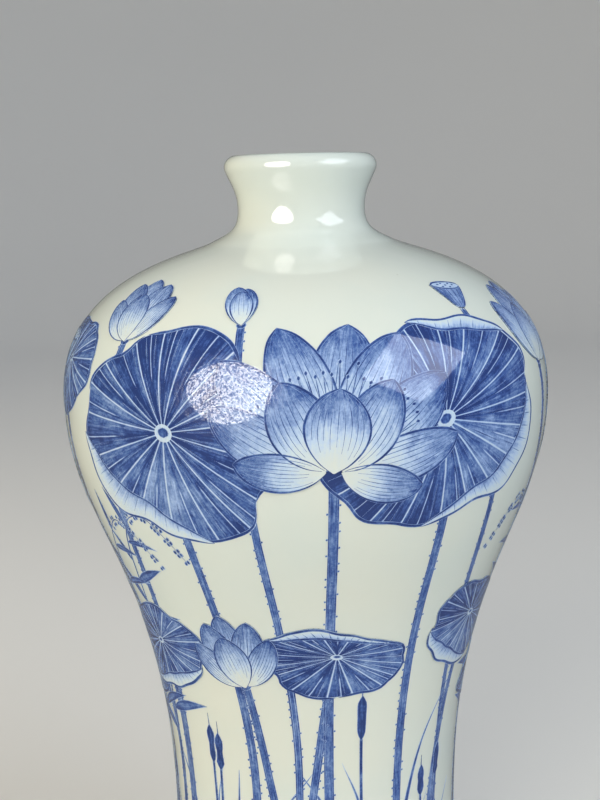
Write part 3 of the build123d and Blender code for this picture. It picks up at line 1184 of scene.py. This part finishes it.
def addReeds(film, azimuth, tall, heads, seed):
    rng = np.random.default_rng(seed)
    look, spot = reedLook, (azimuth, reedLook["root"])
    for k in range(look["blades"]):
        x = stray(1, rng) * look["spread"]
        high = tall * drawn(look["bladeHeights"], rng)
        lean = stray(look["bladeLean"], rng) * high + 0.5 * x
        knots = swayed(x, lean, high, look["bladeKnots"])
        addStroke(film, spot, knots, look["blade"], layers["reeds"] + 0.4 * (k % 2), rng)
    for _ in range(heads):
        x = stray(look["headPlaces"], rng) * look["spread"]
        high = tall * drawn(look["headHeights"], rng)
        sway = stray(look["headSway"], rng)
        stalk, head = (swayed(x, sway, high, look[knots]) for knots in ("stalkKnots", "headKnots"))
        addStroke(film, spot, stalk, look["stalk"], layers["stalks"], rng)
        addStroke(film, spot, head, look["head"], layers["stalks"] + 0.4, rng)


# Water: a mist of wash, ripples and drops
waterLook = {
    "mistLevel": 30,
    "mistSize": (14, 11),
    "mistTone": 0.16,
    "mistSpacing": 1.3,
    "rippleTurns": (-10, 0, 10),
    "rippleLevels": (16, 22, 29, 37),
    "rippleStray": (4, 2),
    "rippleReach": (4, 11),
    "ripple": brushOf((0.5, 0.9), (0.45, 0.8), (0.4, 0.4), 0.2),
    "drops": 18,
    "dropSpread": 7,
    "dropLevels": (24, 52),
    "dropWidths": (0.5, 1.1),
    "dropHeights": (0.35, 0.7),
    "dropTurn": 20,
    "dropTones": (0.5, 0.95),
}


def addMist(film, spot, wide, tall, tone, layer):
    # pale wash that fades out all round
    spacing = waterLook["mistSpacing"] * filmLook["spacing"]
    u, v = roundGrid(int(2 * wide / spacing) + 2, int(2 * tall / spacing) + 2)[:2]
    fading = tone * np.clip(1 - np.hypot(u, v) ** 2, 0, 1) ** 1.3
    addSheet(film, spot, wide * u, tall * v, fading, filmLook["rimless"], layer, wide * u, tall * v)


def addWater(washes, lines, azimuth, seed):
    rng = np.random.default_rng(seed)
    look = waterLook
    addMist(washes, (azimuth, look["mistLevel"]), *look["mistSize"], look["mistTone"], layers["mist"])
    strayTurn, strayLevel = look["rippleStray"]
    for turn in look["rippleTurns"]:
        for level in look["rippleLevels"]:
            spot = (azimuth + turn + stray(strayTurn, rng), level + stray(strayLevel, rng))
            w = drawn(look["rippleReach"], rng)
            knots = [(-w, 0), (-0.3 * w, rng.uniform(0.3, 1.0)), (0.3 * w, -rng.uniform(0.3, 0.9)), (w, 0.2)]
            addStroke(lines, spot, knots, look["ripple"], layers["ripples"], rng)
    for _ in range(look["drops"]):
        spot = (azimuth + rng.normal(0, look["dropSpread"]), drawn(look["dropLevels"], rng))
        wide, tall = drawn(look["dropWidths"], rng), drawn(look["dropHeights"], rng)
        turn, tone = stray(look["dropTurn"], rng), drawn(look["dropTones"], rng)
        addBlob(lines, spot, 0, 0, wide, tall, turn, tone, layers["drops"])


# Layout of the pond, by degrees round from the front and mm along the wall from the foot
# size, flattening, turn, depth of tone and layer, then each curled edge: place, reach and depth
leaves = (
    leafAt(-31, 181, 31, 0.86, -14, 0.92, "farLeaves", (250, 50, 0.26)),
    leafAt(31, 183, 33, 0.80, 16, 0.96, "farLeaves", (300, 55, 0.22), (60, 30, 0.14)),
    leafAt(6, 114, 20, 0.52, -6, 0.94, "nearLeaves", (90, 60, 0.30)),
    leafAt(-71, 196, 17, 0.80, 12, 0.86, "farLeaves", (200, 45, 0.24)),
    leafAt(-56, 112, 19, 0.66, 18, 0.88, "nearLeaves", (270, 50, 0.28)),
    leafAt(58, 118, 20, 0.62, -10, 0.90, "nearLeaves", (240, 50, 0.26)),
    leafAt(100, 179, 30, 0.82, 10, 0.94, "farLeaves", (270, 55, 0.24)),
    leafAt(88, 96, 17, 0.54, 5, 0.90, "nearLeaves", (90, 60, 0.26)),
    leafAt(150, 126, 22, 0.62, -16, 0.88, "farLeaves", (260, 50, 0.26)),
    leafAt(192, 177, 31, 0.82, 12, 0.94, "farLeaves", (240, 55, 0.24)),
    leafAt(214, 108, 19, 0.56, -4, 0.92, "nearLeaves", (90, 55, 0.28)),
    leafAt(262, 168, 27, 0.76, -18, 0.90, "farLeaves", (300, 50, 0.24)),
    leafAt(276, 100, 18, 0.56, 8, 0.92, "nearLeaves", (90, 55, 0.26)),
)
blossoms = (
    blossomAt(5, 174, 37, 5, openPetals),
    blossomAt(-46, 205, 21, -10, halfPetals),
    blossomAt(67, 194, 25, 12, halfPetals),
    blossomAt(142, 178, 36, -6, openPetals),
    blossomAt(228, 180, 34, 8, openPetals),
    blossomAt(-15, 211, 14, -8, budPetals),
    blossomAt(118, 213, 14, 10, budPetals),
    blossomAt(170, 214, 14, -8, budPetals),
    blossomAt(-22, 106, 22, -12, halfPetals),
    blossomAt(120, 108, 20, 10, halfPetals),
    blossomAt(244, 112, 20, -10, halfPetals),
)
pods = (podAt(43, 213, 10, -8), podAt(208, 210, 10, 8), podAt(282, 194, 11, -6))
# place round the wall, height and the side that it leans to
sprays = ((-70, 136, 1), (80, 138, -1), (112, 126, 1), (170, 138, 1), (232, 132, -1), (300, 140, 1))
reedClumps = (-76, -36, 20, 46, 104, 134, 178, 204, 252, 292)
waters = range(0, 360, 36)
seeds = {"leaves": 11, "blossoms": 31, "pods": 51, "stems": 61, "sprays": 91, "reeds": 111, "waters": 131}

quarters = ("front", "right", "back", "left")
paint = {quarter: {"washes": [], "lines": []} for quarter in quarters}


def quarterAt(azimuth):
    chosen = paint[quarters[int((azimuth + 45) % 360 // 90)]]
    return chosen["washes"], chosen["lines"]


for k, leaf in enumerate(leaves):
    addLeaf(*quarterAt(leaf["azimuth"]), leaf, seeds["leaves"] + k)
for k, blossom in enumerate(blossoms):
    addBlossom(*quarterAt(blossom["azimuth"]), blossom, seeds["blossoms"] + k)
for k, pod in enumerate(pods):
    addPod(*quarterAt(pod["azimuth"]), pod, seeds["pods"] + k)
for k, item in enumerate(leaves + blossoms + pods):
    sway = stemLook["sway"] * math.sin(2.1 * k + 1)
    addStem(*quarterAt(item["azimuth"]), item, sway, seeds["stems"] + k)
for k, (azimuth, size, lean) in enumerate(sprays):
    addSpray(*quarterAt(azimuth), azimuth, size, lean, seeds["sprays"] + k)
for k, azimuth in enumerate(reedClumps):
    addReeds(quarterAt(azimuth)[1], azimuth, reedLook["tall"][k % 3], 1 + k % 2, seeds["reeds"] + k)
for k, azimuth in enumerate(waters):
    addWater(*quarterAt(azimuth), azimuth, seeds["waters"] + k)
for quarter, films in paint.items():
    makeFilm(quarter + "LotusWashes", films["washes"])
    makeFilm(quarter + "LotusLines", films["lines"])

# Finishes of the carried-over nodes
for name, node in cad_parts.items():
    node.data.materials.clear()
    node.data.materials.append(glazeMaterial if name.endswith("_glaze") else pasteMaterial)

for piece, node in ((outerGlaze, "outer_glaze"), (innerGlaze, "inner_glaze"), (baseGlaze, "base_glaze")):
    piece.data.materials.append(glazeMaterial)
    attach(piece, "root")
    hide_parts(node)
print("finishes set")

# Floor that sweeps up all round, in mm
studio = {
    "floorRadius": 1500,
    "sweep": 600,
    "height": 1000,
    "sweepRings": 15,
    "turns": 96,
    "colour": (0.76, 0.76, 0.755),
    "cloudScale": 2.5,
    "cloudLift": 1.03,
    "inGloss": 0.4,  # painted darker reflection: the gloss sees the floor's colour darker, a darker room as with black cards round the table
    "sockets": {"Roughness": 0.85, "Specular IOR Level": 0.0},
}


def glossyRay(tree):
    return tree.nodes.new("ShaderNodeLightPath").outputs["Is Glossy Ray"]


def makeFloor():
    radius, sweep = studio["floorRadius"], studio["sweep"]
    bend = arcPoints((radius, sweep), sweep, -math.pi / 2, 0, studio["sweepRings"])
    middle = [(0.001, 0), (radius / 2, 0)]
    top = [(radius + sweep, sweep + studio["height"])]
    floor = spinShell("studioFloor", np.concatenate([middle, bend, top]), studio["turns"])
    material, tree, shader = newMaterial("paleFloor")
    pale = studio["colour"]
    cloud = addNoise(tree, objectPlace(tree), studio["cloudScale"], 2)
    tint = addMix(tree, cloud, pale, tuple(c * studio["cloudLift"] for c in pale))
    # painted darker reflection: glossy rays see a darker floor colour than the lit floor has
    tint = addMix(tree, glossyRay(tree), tint, tuple(c * studio["inGloss"] for c in pale))
    tree.links.new(tint, shader.inputs["Base Color"])
    setSockets(shader, studio["sockets"])
    floor.data.materials.append(material)
    return floor


floor = makeFloor()

# Broad lamps light the body, and the glints stand where its gloss mirrors them. Metres and watts
lamps = (
    {
        "name": "leftWindow", "azimuth": -22, "elevation": 22, "roll": 0, "shape": "ELLIPSE",
        "size": (0.74, 0.82), "power": 4.85, "colour": (1.0, 0.93, 0.775), "gloss": False,
    },
    {
        "name": "rightWindow", "azimuth": 55, "elevation": 41, "roll": 35, "shape": "RECTANGLE",
        "size": (0.82, 0.60), "power": 3.75, "colour": (0.80, 0.905, 1.0), "gloss": False,
    },
    {
        "name": "leftBounce", "azimuth": -100, "elevation": 16, "roll": 0, "shape": "RECTANGLE",
        "size": (0.60, 0.60), "power": 2.5, "colour": (1.0, 0.80, 0.45), "gloss": False,
    },
    {
        "name": "leftGlint", "azimuth": -35, "elevation": 17, "roll": 0, "shape": "ELLIPSE",
        "size": (0.76, 0.90), "power": 30.0, "colour": (1.0, 0.95, 0.89), "gloss": True,
    },
    {
        "name": "rightGlint", "azimuth": 55, "elevation": 29, "roll": 40, "shape": "RECTANGLE",
        "size": (0.86, 0.68), "power": 10.0, "colour": (0.84, 0.89, 1.0), "gloss": True,
    },
)
lampDistance = 1.1
lampAim = Vector((0, 0, 0.19))
windowSpread, glintSpread = 150, 180  # the narrower one keeps light off the floor under a window
for lamp in lamps:
    a, e = math.radians(lamp["azimuth"]), math.radians(lamp["elevation"])
    way = Vector((math.sin(a) * math.cos(e), -math.cos(a) * math.cos(e), math.sin(e)))
    data = bpy.data.lights.new(lamp["name"], "AREA")
    data.shape = lamp["shape"]
    data.size, data.size_y = lamp["size"]
    data.energy = lamp["power"]
    data.spread = math.radians(glintSpread if lamp["gloss"] else windowSpread)
    data.color = lamp["colour"]
    data.cycles.use_multiple_importance_sampling = lamp["gloss"]
    light = bpy.data.objects.new(lamp["name"], data)
    light.location = lampAim + way * lampDistance
    roll = Quaternion((0, 0, 1), math.radians(lamp["roll"]))
    light.rotation_euler = (way.to_track_quat("Z", "Y") @ roll).to_euler()
    light.visible_camera = False
    light.visible_glossy = lamp["gloss"]
    light.visible_diffuse = not lamp["gloss"]
    bpy.context.scene.collection.objects.link(light)

skyLight = {"colour": (0.91, 0.945, 1.0), "strength": 0.45, "inGloss": 0.12}
world = bpy.data.worlds.new("studioSky")
world.use_nodes = True
skyTree = world.node_tree
sky = skyTree.nodes["Background"]
sky.inputs["Color"].default_value = (*skyLight["colour"], 1)
strength = addRange(skyTree, glossyRay(skyTree), 0, 1, skyLight["strength"], skyLight["inGloss"])
skyTree.links.new(strength, sky.inputs["Strength"])
bpy.context.scene.world = world
print("studio lit by", len(lamps), "lamps")

# The photo's view: focal length, eye line and the axis's offset in pixels, place in mm, roll in degrees
view = {
    "frame": (600, 800),
    "focal": 1250.0,
    "eyeLine": 180.1,
    "axisOffset": 5.94,
    "roll": -1.42,
    "distance": 363.7,
    "height": 242.7,
    "sensor": 36.0,
    "nearest": 0.01,  # metres
}
pitch = math.atan((view["frame"][1] / 2 - view["eyeLine"]) / view["focal"])
roll = math.radians(view["roll"])
forward = Vector((0, math.cos(pitch), -math.sin(pitch)))
level = Vector((1, 0, 0))
upright = Vector((0, math.sin(pitch), math.cos(pitch)))
right = level * math.cos(roll) + upright * math.sin(roll)
up = upright * math.cos(roll) - level * math.sin(roll)
cameraData = bpy.data.cameras.new("photoView")
cameraData.sensor_fit = "VERTICAL"
cameraData.sensor_height = view["sensor"]
cameraData.lens = view["sensor"] * view["focal"] / view["frame"][1]
cameraData.clip_start = view["nearest"]
camera = bpy.data.objects.new("photoView", cameraData)
side = -view["axisOffset"] * view["distance"] / view["focal"]
place = Matrix.Translation(Vector((side, -view["distance"], view["height"])) * mm)
camera.matrix_world = place @ Matrix((right, up, -forward)).transposed().to_4x4()
bpy.context.scene.collection.objects.link(camera)
bpy.context.scene.camera = camera
bpy.context.scene.view_settings.view_transform = "Standard"
print("camera set")
